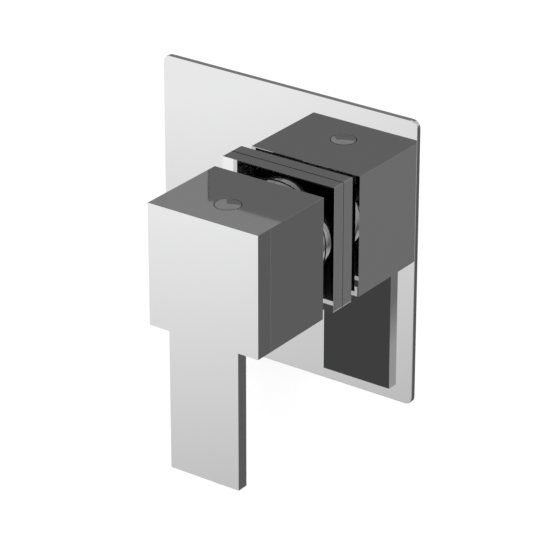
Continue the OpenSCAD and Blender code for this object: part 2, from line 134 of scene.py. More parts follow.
def placeGroup(tree, group, **values):
    node = addNode(tree, "ShaderNodeGroup", node_tree=group)
    for title, value in values.items():
        feed(tree, value, node.inputs[title])
    return node.outputs


def noiseOf(tree, coords, scale, detail=2.0, roughness=0.5):
    node = addNode(tree, "ShaderNodeTexNoise")
    tree.links.new(coords, node.inputs["Vector"])
    feed(tree, scale, node.inputs["Scale"])
    node.inputs["Detail"].default_value = detail
    node.inputs["Roughness"].default_value = roughness
    return node.outputs["Fac"]


def objectCoords(tree):
    return addNode(tree, "ShaderNodeTexCoord").outputs["Object"]


# Faint cloudiness of a polished or moulded surface, as a roughness
def buildCloudGroup():
    tree, given, result = newGroup(
        "surfaceCloud",
        [("Scale", "NodeSocketFloat", 60.0), ("Low", "NodeSocketFloat", 0.02),
         ("High", "NodeSocketFloat", 0.05)],
        [("Roughness", "NodeSocketFloat"), ("Height", "NodeSocketFloat")])
    coords = objectCoords(tree)
    clouds = noiseOf(tree, coords, given["Scale"], detail=4.0, roughness=0.6)
    waves = noiseOf(tree, coords, given["Scale"], detail=0.0)
    least, most = 0.35, 0.7    # the noise seldom goes past these
    tree.links.new(mapRange(tree, clouds, least, most, given["Low"], given["High"]), result["Roughness"])
    tree.links.new(waves, result["Height"])
    return tree


# Grains of a casting or foam, as a height and a mask for its darker pits
def buildGrainGroup():
    tree, given, result = newGroup(
        "castGrain",
        [("Scale", "NodeSocketFloat", 1500.0), ("Pits", "NodeSocketFloat", 0.45)],
        [("Height", "NodeSocketFloat"), ("Pit Mask", "NodeSocketFloat")])
    coarseShare = 0.25    # the coarse noise's scale, as a share of the fine one's
    pitEdge = 0.12        # how softly the pits begin
    coords = objectCoords(tree)
    coarse = noiseOf(tree, coords, times(tree, given["Scale"], coarseShare), detail=2.0)
    fine = noiseOf(tree, coords, given["Scale"], detail=5.0, roughness=0.7)
    both = mathNode(tree, "ADD", times(tree, coarse, 0.5), times(tree, fine, 0.5))
    tree.links.new(both, result["Height"])
    deep = mathNode(tree, "SUBTRACT", given["Pits"], pitEdge)
    tree.links.new(mapRange(tree, fine, given["Pits"], deep, 0.0, 1.0), result["Pit Mask"])
    return tree


# Fine rings round the valve's axis, as a cutter leaves them
def buildTurningGroup():
    tree, given, result = newGroup(
        "turningRings",
        [("Rings", "NodeSocketFloat", 9000.0)],
        [("Height", "NodeSocketFloat")])
    flat = vectorNode(tree, "MULTIPLY", objectCoords(tree), (1.0, 0.0, 1.0))[0]
    radius = vectorNode(tree, "LENGTH", flat)["Value"]
    wave = mathNode(tree, "SINE", times(tree, radius, given["Rings"]))
    tree.links.new(wave, result["Height"])
    return tree


# One inside a box that is given by its two corners, and nought outside it
def buildBoxMaskGroup():
    tree, given, result = newGroup(
        "boxMask",
        [("Low", "NodeSocketVector", (-1.0, -1.0, -1.0)), ("High", "NodeSocketVector", (1.0, 1.0, 1.0)),
         ("Softness", "NodeSocketFloat", 0.0001)],
        [("Mask", "NodeSocketFloat")])
    coords = objectCoords(tree)
    mask = None
    for first, second in ((coords, given["Low"]), (given["High"], coords)):
        parts = addNode(tree, "ShaderNodeSeparateXYZ")
        tree.links.new(vectorNode(tree, "SUBTRACT", first, second)[0], parts.inputs[0])
        for axis in parts.outputs:
            share = mathNode(tree, "DIVIDE", axis, given["Softness"], clamp=True)
            mask = share if mask is None else times(tree, mask, share)
    tree.links.new(mask, result["Mask"])
    return tree


surfaceCloud = buildCloudGroup()
castGrain = buildGrainGroup()
turningRings = buildTurningGroup()
boxMask = buildBoxMaskGroup()
print("shader groups built")


# Materials

def newMaterial(name):
    material = bpy.data.materials.new(name)
    material.use_nodes = True
    shader = material.node_tree.nodes["Principled BSDF"]
    return material, material.node_tree, shader


# A metal that has one colour all over
def newMetal(name, colour):
    material, tree, shader = newMaterial(name)
    shader.inputs["Base Color"].default_value = (*colour, 1.0)
    shader.inputs["Metallic"].default_value = 1.0
    return material, tree, shader


def mixColours(tree, mask, first, second):
    node = addNode(tree, "ShaderNodeMix", data_type="RGBA")
    tree.links.new(mask, node.inputs["Factor"])
    for title, colour in (("A", first), ("B", second)):
        feed(tree, (*colour, 1.0) if isinstance(colour, tuple) else colour, node.inputs[title])
    return node.outputs["Result"]


def mixNumbers(tree, mask, first, second):
    node = addNode(tree, "ShaderNodeMix", data_type="FLOAT")
    tree.links.new(mask, node.inputs["Factor"])
    feed(tree, first, node.inputs["A"])
    feed(tree, second, node.inputs["B"])
    return node.outputs["Result"]


def addBump(tree, shader, height, strength, depth):
    bump = addNode(tree, "ShaderNodeBump")
    bump.inputs["Distance"].default_value = depth
    feed(tree, strength, bump.inputs["Strength"])
    tree.links.new(height, bump.inputs["Height"])
    tree.links.new(bump.outputs["Normal"], shader.inputs["Normal"])


beyond = 1.0    # past every piece, for the sides of a box mask that bound nothing

chromeLook = {
    "cloudScale": 45.0,
    "smooth": 0.006,
    "hazy": 0.016,
    "waveStrength": 0.02,
    "waveDepth": 0.02 * mm,
    "blueTint": 0.004,
}
# How bright each piece's chrome is made. The plating is one finish, and the tones that differ piece by piece
# are painted light and shade
chromeTones = {"plate": 0.775, "sleeve": 0.87, "cap": 0.83, "plug": 0.86, "handle": 0.885}


def chromeColour(piece):
    tone = chromeTones[piece]
    return (tone, tone, tone + chromeLook["blueTint"])


def chromeMaterial(name, look, colour):
    material, tree, shader = newMetal(name, colour)
    cloud = placeGroup(tree, surfaceCloud, Scale=look["cloudScale"], Low=look["smooth"], High=look["hazy"])
    tree.links.new(cloud["Roughness"], shader.inputs["Roughness"])
    addBump(tree, shader, cloud["Height"], look["waveStrength"], look["waveDepth"])
    return material


# The plate's back and the walls of its recess are only brushed
backLook = {
    "roughness": 0.36,
    "grainScale": 2600.0,
    "grainStrength": 0.15,
    "grainDepth": 0.05 * mm,
    "side": 59.7 * mm,
    "front": -1.9 * mm,
    "back": 1 * mm,
}


def plateMaterial(name, look, colour, behind):
    material, tree, shader = newMetal(name, colour)
    side = behind["side"]
    mask = placeGroup(tree, boxMask, Low=(-side, behind["front"], -side),
                      High=(side, behind["back"], side))["Mask"]
    cloud = placeGroup(tree, surfaceCloud, Scale=look["cloudScale"], Low=look["smooth"], High=look["hazy"])
    grain = placeGroup(tree, castGrain, Scale=behind["grainScale"])
    roughness = mixNumbers(tree, mask, cloud["Roughness"], behind["roughness"])
    tree.links.new(roughness, shader.inputs["Roughness"])
    addBump(tree, shader, grain["Height"], times(tree, mask, behind["grainStrength"]),
            behind["grainDepth"])
    return material


# The handle is polished outside, and its hollow gets painted shade: a near-black, dull coat with a cast
# grain
hollowShadeLook = {
    # near-black colour of the painted shade in the hollow
    "colour": (0.012, 0.012, 0.012),
    "roughness": 0.55,
    "grainScale": 1800.0,
    "grainStrength": 0.3,
    "grainDepth": 0.1 * mm,
    "side": 24.15 * mm,
    "bottom": -25.45 * mm,
    "top": 24.5 * mm,
    "front": -52.2 * mm,
}

# The plug's side in its narrow gap gets painted shade, dark and dull, from its foot to just under its rim
plugGapShadeLook = {
    # near-black colour of the painted shade in the plug's gap
    "colour": (0.02, 0.02, 0.021),
    "roughness": 0.6,
    "grainScale": 900.0,
    "grainStrength": 0.3,
    "grainDepth": 0.1 * mm,
    "side": beyond,
    "bottom": -beyond,
    "top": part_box("index_plug")[1].z - 0.26 * mm,
    "front": -beyond,
}


# Chrome with painted shade, a dark and dull coat, wherever it lies inside a box
def paintedShadeMaterial(name, look, colour, paintedShade):
    material, tree, shader = newMaterial(name)
    mask = placeGroup(tree, boxMask, Low=(-paintedShade["side"], paintedShade["front"], paintedShade["bottom"]),
                      High=(paintedShade["side"], 0.0, paintedShade["top"]))["Mask"]
    cloud = placeGroup(tree, surfaceCloud, Scale=look["cloudScale"], Low=look["smooth"], High=look["hazy"])
    grain = placeGroup(tree, castGrain, Scale=paintedShade["grainScale"])
    # inside the box the colour turns to the painted shade's near-black, and the metal turns dull
    tree.links.new(mixColours(tree, mask, colour, paintedShade["colour"]), shader.inputs["Base Color"])
    tree.links.new(mixNumbers(tree, mask, cloud["Roughness"], paintedShade["roughness"]), shader.inputs["Roughness"])
    tree.links.new(mathNode(tree, "SUBTRACT", 1.0, mask), shader.inputs["Metallic"])
    addBump(tree, shader, grain["Height"], times(tree, mask, paintedShade["grainStrength"]),
            paintedShade["grainDepth"])
    return material


# Sand-cast brass with machined end faces at its ports
bodyLook = {
    "cast": (0.60, 0.43, 0.19),
    "pit": (0.33, 0.22, 0.09),
    "pits": 0.47,
    "cloudScale": 90.0,
    "smooth": 0.38,
    "hazy": 0.6,
    "grainScale": 1400.0,
    "grainStrength": 0.55,
    "grainDepth": 0.35 * mm,
    "machined": (0.74, 0.56, 0.28),
    "machinedRoughness": 0.24,
    "portFace": 41.9 * mm,    # the ports' end faces lie past this and are cut clean
}


def castBrassMaterial(name, look):
    material, tree, shader = newMaterial(name)
    shader.inputs["Metallic"].default_value = 1.0
    grain = placeGroup(tree, castGrain, Scale=look["grainScale"], Pits=look["pits"])
    cloud = placeGroup(tree, surfaceCloud, Scale=look["cloudScale"], Low=look["smooth"], High=look["hazy"])
    face = look["portFace"]
    skin = placeGroup(tree, boxMask, Low=(-face, -beyond, -beyond), High=(face, beyond, face))["Mask"]
    cast = mixColours(tree, grain["Pit Mask"], look["cast"], look["pit"])
    tree.links.new(mixColours(tree, skin, look["machined"], cast), shader.inputs["Base Color"])
    roughness = mixNumbers(tree, skin, look["machinedRoughness"], cloud["Roughness"])
    tree.links.new(roughness, shader.inputs["Roughness"])
    addBump(tree, shader, grain["Height"], times(tree, skin, look["grainStrength"]),
            look["grainDepth"])
    return material


# Turned or ground metal of the nut, the stem and the pin
turnedLook = {
    "cloudScale": 160.0,
    "rings": 14000.0,
    "ringStrength": 0.25,
    "ringDepth": 0.02 * mm,
}


def turnedMaterial(name, look, colour, smooth, hazy):
    material, tree, shader = newMetal(name, colour)
    cloud = placeGroup(tree, surfaceCloud, Scale=look["cloudScale"], Low=smooth, High=hazy)
    rings = placeGroup(tree, turningRings, Rings=look["rings"])
    tree.links.new(cloud["Roughness"], shader.inputs["Roughness"])
    addBump(tree, shader, rings["Height"], look["ringStrength"], look["ringDepth"])
    return material


# Plastic, rubber and ceramic have a fine grain, and fibre and foam a rougher one
mouldedLook = {
    "cloudScale": 220.0,
    "pits": 0.42,
    "grainScale": 2500.0,
    "grainStrength": 0.12,
    "grainDepth": 0.03 * mm,
}
fibreLook = {**mouldedLook, "grainStrength": 0.5}
foamLook = {**mouldedLook, "grainScale": 1600.0, "grainStrength": 0.8, "grainDepth": 0.3 * mm}


def mouldedMaterial(name, look, colour, pit, smooth, hazy):
    material, tree, shader = newMaterial(name)
    cloud = placeGroup(tree, surfaceCloud, Scale=look["cloudScale"], Low=smooth, High=hazy)
    grain = placeGroup(tree, castGrain, Scale=look["grainScale"], Pits=look["pits"])
    tree.links.new(mixColours(tree, grain["Pit Mask"], colour, pit), shader.inputs["Base Color"])
    tree.links.new(cloud["Roughness"], shader.inputs["Roughness"])
    addBump(tree, shader, grain["Height"], look["grainStrength"], look["grainDepth"])
    return material


brass = (0.72, 0.54, 0.26)
finishes = {
    "plate_chrome": plateMaterial("plateChrome", chromeLook, chromeColour("plate"), backLook),
    "sleeve_chrome": chromeMaterial("sleeveChrome", chromeLook, chromeColour("sleeve")),
    "cap_chrome": chromeMaterial("capChrome", chromeLook, chromeColour("cap")),
    # the plug's gap side and the handle's hollow get painted shade
    "index_chrome": paintedShadeMaterial("plugChrome", chromeLook, chromeColour("plug"), plugGapShadeLook),
    "handle_chrome": paintedShadeMaterial("handleChrome", chromeLook, chromeColour("handle"), hollowShadeLook),
    "body_brass": castBrassMaterial("castBrass", bodyLook),
    "nut_brass": turnedMaterial("turnedBrass", turnedLook, brass, smooth=0.22, hazy=0.34),
    "stem_brass": turnedMaterial("drawnBrass", turnedLook, brass, smooth=0.2, hazy=0.32),
    "pin_steel": turnedMaterial("groundSteel", turnedLook, (0.56, 0.56, 0.57), smooth=0.2, hazy=0.3),
    "washer_fibre": mouldedMaterial("redFibre", fibreLook, (0.32, 0.05, 0.03),
                                    pit=(0.2, 0.03, 0.02), smooth=0.75, hazy=0.9),
    "seal_rubber": mouldedMaterial("blackRubber", mouldedLook, (0.018, 0.018, 0.018),
                                   pit=(0.012, 0.012, 0.012), smooth=0.5, hazy=0.65),
    "gasket_foam": mouldedMaterial("closedFoam", foamLook, (0.07, 0.07, 0.072),
                                   pit=(0.02, 0.02, 0.02), smooth=0.85, hazy=0.95),
    "cartridge_plastic": mouldedMaterial("ivoryPlastic", mouldedLook, (0.74, 0.72, 0.66),
                                         pit=(0.7, 0.68, 0.62), smooth=0.38, hazy=0.5),
    "disc_ceramic": mouldedMaterial("whiteCeramic", mouldedLook, (0.85, 0.84, 0.8),
                                    pit=(0.82, 0.81, 0.77), smooth=0.08, hazy=0.16),
    "bush_plastic": mouldedMaterial("greyPlastic", mouldedLook, (0.42, 0.42, 0.42),
                                    pit=(0.38, 0.38, 0.38), smooth=0.4, hazy=0.55),
}
for row in frame["record"]["subparts"]:
    node = nodes[row["node"]]
    node.data.materials.clear()
    node.data.materials.append(finishes[row["material_slot"]])
print("materials made:", len(finishes))


# Mesh helpers

def meshObject(name, bm, slotName):
    bmesh.ops.recalc_face_normals(bm, faces=bm.faces)
    mesh = bpy.data.meshes.new(name)
    bm.to_mesh(mesh)
    bm.free()
    mesh.materials.append(finishes[slotName])
    mesh.polygons.foreach_set("use_smooth", [True] * len(mesh.polygons))
    piece = bpy.data.objects.new(name, mesh)
    bpy.context.scene.collection.objects.link(piece)
    return piece


joinDistance = 0.0005 * mm


# A copy of a CAD node's mesh, joined at its corners
def copyOf(node):
    bm = bmesh.new()
    bm.from_mesh(nodes[node].data)
    bmesh.ops.remove_doubles(bm, verts=bm.verts, dist=joinDistance)
    return bm


# The copy's faces are to be shaded by their new shape, not by the CAD's stored normals
def forgetNormals(piece):
    stored = piece.data.attributes.get("custom_normal")
    if stored:
        piece.data.attributes.remove(stored)


def keepFlatsFlat(piece, sharp):
    piece.data.set_sharp_from_angle(angle=math.radians(sharp))
    weights = piece.modifiers.new("flatFaces", "WEIGHTED_NORMAL")
    weights.mode = "FACE_AREA"
    weights.weight = 100    # all of a normal comes from the largest face beside it
    weights.keep_sharp = True


def standFor(piece, node, body):
    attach(piece, body)
    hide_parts(node)


def arcPoints(centre, radius, start, end, steps):
    points = []
    for step in range(steps + 1):
        angle = math.radians(start + (end - start) * step / steps)
        points.append((centre[0] + radius * math.cos(angle), centre[1] + radius * math.sin(angle)))
    return points


# A closed profile of (radius, place) points turned round the Y axis. Where its first and last
# points have no radius, they are the ends of a solid piece
def revolve(profile, steps):
    bm = bmesh.new()
    rings = []
    for radius, place in profile:
        if radius == 0:
            rings.append([bm.verts.new((0, place, 0))] * steps)
            continue
        ring = []
        for step in range(steps):
            angle = 2 * math.pi * step / steps
            ring.append(bm.verts.new((radius * math.cos(angle), place, radius * math.sin(angle))))
        rings.append(ring)
    pairs = list(zip(rings, rings[1:]))
    if profile[0][0] > 0:
        pairs.append((rings[-1], rings[0]))
    for first, second in pairs:
        for step in range(steps):
            after = (step + 1) % steps
            corners = [first[step], first[after], second[after], second[step]]
            bm.faces.new(list(dict.fromkeys(corners)))
    return bm


# Steps in degrees between the points of a square loop, and how far from each corner they are fine
squareLoop = {"coarseStep": 5.0, "fineStep": 0.25, "fineReach": 6.0}


def loopAngles(steps):
    angles = set()
    fineCount = round(steps["fineReach"] / steps["fineStep"])
    for start in range(0, 360, 90):
        for count in range(round(90 / steps["coarseStep"])):
            angles.add(round(start + count * steps["coarseStep"], 3))
        for count in range(-fineCount, fineCount + 1):
            angles.add(round(start + 45 + count * steps["fineStep"], 3))
    return [math.radians(angle) for angle in sorted(angles)]


squareAngles = loopAngles(squareLoop)


# A point of a rounded square, or of a circle where the corner is half the width
def squarePoint(width, corner, angle):
    half = width / 2
    ux, uz = math.cos(angle), math.sin(angle)
    ax, az = abs(ux), abs(uz)
    reach = half / max(ax, az)
    if min(ax, az) * reach > half - corner:
        centre = half - corner
        along = centre * (ax + az)
        reach = along + math.sqrt(max(along * along - 2 * centre * centre + corner * corner, 0.0))
    return ux * reach, uz * reach


# A closed profile of (width, corner radius, place) loops joined round a square hole
def squareSweep(profile):
    bm = bmesh.new()
    loops = []
    for width, corner, place in profile:
        loop = []
        for angle in squareAngles:
            x, z = squarePoint(width, corner, angle)
            loop.append(bm.verts.new((x, place, z)))
        loops.append(loop)
    count = len(squareAngles)
    for first, second in zip(loops, loops[1:] + loops[:1]):
        for step in range(count):
            after = (step + 1) % count
            bm.faces.new((first[step], first[after], second[after], second[step]))
    return bm


# Wall plate: a pressed plate with a fine round on its front edges and a recess in its back
plate = {
    "corner": 3.2 * mm,
    "frontRound": 0.2 * mm,
    "roundSteps": 5,
    "holeCorner": 0.22 * mm,
    "holeRound": 0.05 * mm,
    "recess": 1 * mm,
    "rim": 4 * mm,
    "recessCorner": 2.5 * mm,
    "clearance": 0.12 * mm,
    "sharp": 50.0,
}


def makePlate(size):
    low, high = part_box("wall_plate")
    sleeveLow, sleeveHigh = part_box("square_sleeve")
    width = high.x - low.x
    front = low.y
    hole = sleeveHigh.x - sleeveLow.x + 2 * size["clearance"]
    edge = size["frontRound"]
    bevel = size["holeRound"]
    profile = []
    for side, place in arcPoints((-edge, edge), edge, 0, -90, size["roundSteps"]):
        profile.append((width + 2 * side, size["corner"] + side, front + place))
    for side, place in arcPoints((bevel, bevel), bevel, -90, -180, size["roundSteps"]):
        profile.append((hole + 2 * side, size["holeCorner"] + side, front + place))
    inner = width - 2 * size["rim"]
    profile += [
        (hole, size["holeCorner"], -size["recess"]),
        (inner, size["recessCorner"], -size["recess"]),
        (inner, size["recessCorner"], high.y),
        (width, size["corner"], high.y),
    ]
    piece = meshObject("polishedPlate", squareSweep(profile), "plate_chrome")
    keepFlatsFlat(piece, size["sharp"])
    standFor(piece, "wall_plate", "body")


makePlate(plate)

# Square sleeve: a square block with a stepped round bore and fine rounds at the front
sleeve = {
    "corner": 0.12 * mm,
    "frontRound": 0.05 * mm,
    "roundSteps": 4,
    "capClearance": 0.3 * mm,
    "boreRadius": 25.1 * mm,
    "stepPlace": -1.3 * mm,
    "leadIn": 1 * mm,
    "sharp": 30.0,
}


def makeSleeve(size):
    low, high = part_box("square_sleeve")
    capLow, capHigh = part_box("dome_cap")
    width = high.x - low.x
    front = low.y
    back = high.y
    capBore = capHigh.x - capLow.x + 2 * size["capClearance"]
    bore = 2 * size["boreRadius"]
    edge = size["frontRound"]
    profile = []
    for side, place in arcPoints((-edge, edge), edge, 0, -90, size["roundSteps"]):
        profile.append((width + 2 * side, size["corner"] + side, front + place))
    for side, place in arcPoints((edge, edge), edge, -90, -180, size["roundSteps"]):
        profile.append((capBore + 2 * side, capBore / 2 + side, front + place))
    profile += [
        (capBore, capBore / 2, size["stepPlace"]),
        (bore, bore / 2, size["stepPlace"]),
        (bore, bore / 2, back - size["leadIn"]),
        (bore + 2 * size["leadIn"], bore / 2 + size["leadIn"], back),
        (width, size["corner"], back),
    ]
    piece = meshObject("polishedSleeve", squareSweep(profile), "sleeve_chrome")
    keepFlatsFlat(piece, size["sharp"])
    standFor(piece, "square_sleeve", "body")


makeSleeve(sleeve)

# Round cap: a spun cup with a broad shoulder and a hole for the stem
cap = {
    "shoulder": 10 * mm,
    "wall": 1.5 * mm,
    "hole": 9.6 * mm,
    "rimRound": 0.25 * mm,
    "rimSteps": 4,
    "shoulderSteps": 40,
    "steps": 256,
    "sharp": 50.0,
}


def makeCap(size):
    low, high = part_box("dome_cap")
    radius = (high.x - low.x) / 2
    front = low.y
    back = high.y
    shoulder = size["shoulder"]
    wall = size["wall"]
    hole = size["hole"]
    edge = size["rimRound"]
    flat = radius - shoulder
    profile = [(radius, back)]
    profile += arcPoints((flat, front + shoulder), shoulder, 0, -90, size["shoulderSteps"])
    profile += arcPoints((hole + edge, front + edge), edge, -90, -180, size["rimSteps"])
    profile += [(hole, front + wall)]
    profile += arcPoints((flat, front + shoulder), shoulder - wall, -90, 0, size["shoulderSteps"])
    profile += [(radius - wall, back)]
    piece = meshObject("polishedCap", revolve(profile, size["steps"]), "cap_chrome")
    piece.data.set_sharp_from_angle(angle=math.radians(size["sharp"]))
    standFor(piece, "dome_cap", "body")


makeCap(cap)
print("plate, sleeve and cap made")

# Plug over the grub screw: a small disc with a slightly domed, polished top
plug = {"crown": 0.24 * mm, "gap": 0.22 * mm, "steps": 96, "crownSteps": 8, "sharp": 50.0}


def makePlug(size):
    low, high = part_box("index_plug")
    radius = (high.x - low.x) / 2 - size["gap"]
    profile = [(0.0, low.z), (radius, low.z)]
    for step in range(size["crownSteps"] + 1):
        share = 1 - step / size["crownSteps"]
        profile.append((radius * share, high.z - size["crown"] * share * share))
    bm = revolve(profile, size["steps"])
    turn = Matrix.Rotation(math.radians(90), 4, "X")
    middle = (low + high) / 2
    bmesh.ops.transform(bm, matrix=Matrix.Translation((middle.x, middle.y, 0)) @ turn, verts=bm.verts)
    piece = meshObject("polishedPlug", bm, "index_chrome")
    piece.data.set_sharp_from_angle(angle=math.radians(size["sharp"]))
    standFor(piece, "index_plug", "handle")


makePlug(plug)


# Handle: the CAD casting with fine rounds on its long edges and finer ones at its holes
handle = {
    "edge": 0.25 * mm,
    "steps": 3,
    "longEdge": 3 * mm,
    "holeShare": 0.06,    # how much of the round the holes' edges get
    "sharp": 40.0,
    "flat": 0.2,          # faces that turn by less than this many degrees are joined
}


def makeHandle(size):
    bm = copyOf("lever_handle")
    bmesh.ops.dissolve_limit(bm, angle_limit=math.radians(size["flat"]), verts=bm.verts, edges=bm.edges)
    weight = bm.edges.layers.float.new("bevel_weight_edge")
    for edge in bm.edges:
        if edge.calc_face_angle(0.0) > math.radians(size["sharp"]):
            edge[weight] = 1.0 if edge.calc_length() > size["longEdge"] else size["holeShare"]
    piece = meshObject("polishedHandle", bm, "handle_chrome")
    forgetNormals(piece)
    rounds = piece.modifiers.new("edgeRounds", "BEVEL")
    rounds.width = size["edge"]
    rounds.segments = size["steps"]
    rounds.limit_method = "WEIGHT"
    rounds.harden_normals = True
    rounds.use_clamp_overlap = True
    standFor(piece, "lever_handle", "handle")


makeHandle(handle)
print("plug and handle made")


# Cast body: the CAD casting with half-inch pipe threads cut into its three open ports
body = {
    "axisPlace": 40.85 * mm,    # how far the ports' axes lie behind the wall's face
    "reach": 42 * mm,           # where the ports end
    "threadLength": 14 * mm,
    "bore": 9.32 * mm,          # radius of the ports
    "root": 10.35 * mm,         # radius at the bottom of the groove
    "pitch": 1.814 * mm,
    "stepsPerTurn": 48,
    "overlap": 0.12 * mm,
    "grooveShare": 0.44,        # half of the groove's mouth, as a share of the pitch
    "runOut": 0.75,             # how far the groove runs past the port's face, also as a share
    "sharp": 32.0,
}


def addThread(bm, size, turn):
    place = size["reach"] - size["threadLength"] + size["pitch"]
    halfMouth = size["pitch"] * size["grooveShare"]
    inner = size["bore"] - size["overlap"]
    stride = size["pitch"] / size["stepsPerTurn"]
    before = None
    count = int((size["reach"] + size["pitch"] * size["runOut"] - place) / stride)
    for step in range(count):
        angle = 2 * math.pi * step / size["stepsPerTurn"]
        ring = []
        for radius, shift in ((inner, -halfMouth), (size["root"], 0.0), (inner, halfMouth)):
            point = Vector((radius * math.cos(angle), radius * math.sin(angle), place + shift))
            ring.append(bm.verts.new(turn @ point + Vector((0, size["axisPlace"], 0))))
        if before is None:
            bm.faces.new(ring)
        else:
            for corner in range(3):
                other = (corner + 1) % 3
                bm.faces.new((before[corner], before[other], ring[other], ring[corner]))
        before = ring
        place += stride
    bm.faces.new(reversed(before))


def makeBody(size):
    bm = bmesh.new()
    for side in (0, 90, -90):
        addThread(bm, size, Matrix.Rotation(math.radians(side), 3, "Y"))
    cutter = meshObject("threadCutter", bm, "body_brass")
    piece = meshObject("castBody", copyOf("valve_body"), "body_brass")
    forgetNormals(piece)
    cut = piece.modifiers.new("portThreads", "BOOLEAN")
    cut.operation = "DIFFERENCE"
    cut.solver = "MANIFOLD"
    cut.object = cutter
    depsgraph = bpy.context.evaluated_depsgraph_get()
    threaded = bpy.data.meshes.new_from_object(piece.evaluated_get(depsgraph))
    print("body faces before and after its threads:", len(piece.data.polygons), len(threaded.polygons))
    piece.modifiers.clear()
    piece.data = threaded
    piece.data.set_sharp_from_angle(angle=math.radians(size["sharp"]))
    bpy.data.objects.remove(cutter)
    standFor(piece, "valve_body", "body")


makeBody(body)
print("body threaded")

# The studio: a wall and a floor, soft boxes in the world for the chrome to mirror, and lamps
studio = {
    "wallSize": 3.0,
    "wallColour": (1.0, 1.0, 1.0),
    "wallGlow": 0.75,     # share of the wall that the camera sees as plain white
    "floorHeight": -0.35,
    "floorSize": 12.0,
    "floorColour": (0.82, 0.82, 0.82),
    "roughness": 0.9,
}


def planeObject(name, corners, material):
    mesh = bpy.data.meshes.new(name)
    mesh.from_pydata(corners, [], [(0, 1, 2, 3)])
    mesh.materials.append(material)
    plane = bpy.data.objects.new(name, mesh)
    bpy.context.scene.collection.objects.link(plane)
    plane.visible_glossy = False


# The wall and the floor are clear from behind and from below
def clearBehind(tree, surface):
    clear = addNode(tree, "ShaderNodeBsdfTransparent")
    mix = addNode(tree, "ShaderNodeMixShader")
    facing = addNode(tree, "ShaderNodeNewGeometry")
    tree.links.new(facing.outputs["Backfacing"], mix.inputs[0])
    tree.links.new(surface.outputs[0], mix.inputs[1])
    tree.links.new(clear.outputs[0], mix.inputs[2])
    tree.links.new(mix.outputs[0], tree.nodes["Material Output"].inputs["Surface"])


def makeStudio(settings):
    wallPaint, tree, shader = newMaterial("wallPaint")
    shader.inputs["Base Color"].default_value = (*settings["wallColour"], 1.0)
    shader.inputs["Roughness"].default_value = settings["roughness"]
    white = addNode(tree, "ShaderNodeEmission")
    seen = addNode(tree, "ShaderNodeLightPath")
    glow = addNode(tree, "ShaderNodeMixShader")
    share = times(tree, seen.outputs["Is Camera Ray"], settings["wallGlow"])
    tree.links.new(share, glow.inputs[0])
    tree.links.new(shader.outputs[0], glow.inputs[1])
    tree.links.new(white.outputs[0], glow.inputs[2])
    clearBehind(tree, glow)
    floorPaint, tree, shader = newMaterial("floorPaint")
    shader.inputs["Base Color"].default_value = (*settings["floorColour"], 1.0)
    shader.inputs["Roughness"].default_value = settings["roughness"]
    clearBehind(tree, shader)
    down = settings["floorHeight"]
    half = settings["wallSize"] / 2
    wallCorners = [(-half, 0, down), (half, 0, down), (half, 0, half), (-half, 0, half)]
    planeObject("studioWall", wallCorners, wallPaint)
    half = settings["floorSize"] / 2
    floorCorners = [(-half, -half, down), (half, -half, down), (half, half, down), (-half, half, down)]
    planeObject("studioFloor", floorCorners, floorPaint)


makeStudio(studio)

# Each soft box of the world: azimuth to the right of straight ahead of the plate, elevation,
# the angles from its middle where it starts to fade and where it ends, and its brightness
softBoxes = [
    {"azimuth": -37.1, "elevation": -18.2, "inner": 4.1, "outer": 19.2, "light": 0.93, "flag": False},
    {"azimuth": -88.0, "elevation": 8.0, "inner": 42.0, "outer": 54.0, "light": 0.86, "flag": True},
    {"azimuth": 12.0, "elevation": -34.0, "inner": 12.0, "outer": 19.5, "light": 0.25, "flag": False},
    {"azimuth": 42.0, "elevation": 20.0, "inner": 12.0, "outer": 44.0, "light": 0.43, "flag": False},
    {"azimuth": 90.0, "elevation": -25.0, "inner": 55.0, "outer": 75.0, "light": 0.04, "flag": False},
    {"azimuth": 20.0, "elevation": -24.0, "inner": 13.15, "outer": 13.35, "light": 0.063, "flag": False},
    {"azimuth": 20.0, "elevation": -34.0, "inner": 13.4, "outer": 13.9, "light": 0.2, "flag": False},
    {"azimuth": 0.0, "elevation": -4.0, "inner": 4.0, "outer": 27.0, "light": 0.62, "flag": False},
    {"azimuth": 64.0, "elevation": -12.0, "inner": 12.0, "outer": 26.0, "light": 0.45, "flag": False},
]
# Base light by height, in front and behind, and a flag: a dark card in front, above the soft boxes
# on the left, with a little more light past its left and top edges. Its edges are slopes: across
# or up, over forward
sky = {
    "low": 0.108,
    "high": 0.165,
    "backLow": 0.07,
    "backHigh": 0.224,
    "height": 0.42,
    "flagLow": 0.07,
    "flagHigh": 0.28,
    "flagLeft": -0.7508,
    "flagTop": 0.5615,
    "flagEdge": 0.0002,
    "flagRim": 0.0003,
    "rimShade": 0.09,
    "pastFlag": 0.13,
    "fadeStart": 0.5,
    "fadeEnd": 0.7,
    "aheadEdge": -0.2,        # the front's base light is full past this place
    "leastForward": 0.001,    # keeps the slopes finite to the sides and behind
}


def directionOf(azimuth, elevation):
    turn = math.radians(azimuth)
    rise = math.radians(elevation)
    return Vector((math.sin(turn) * math.cos(rise), -math.cos(turn) * math.cos(rise), math.sin(rise)))


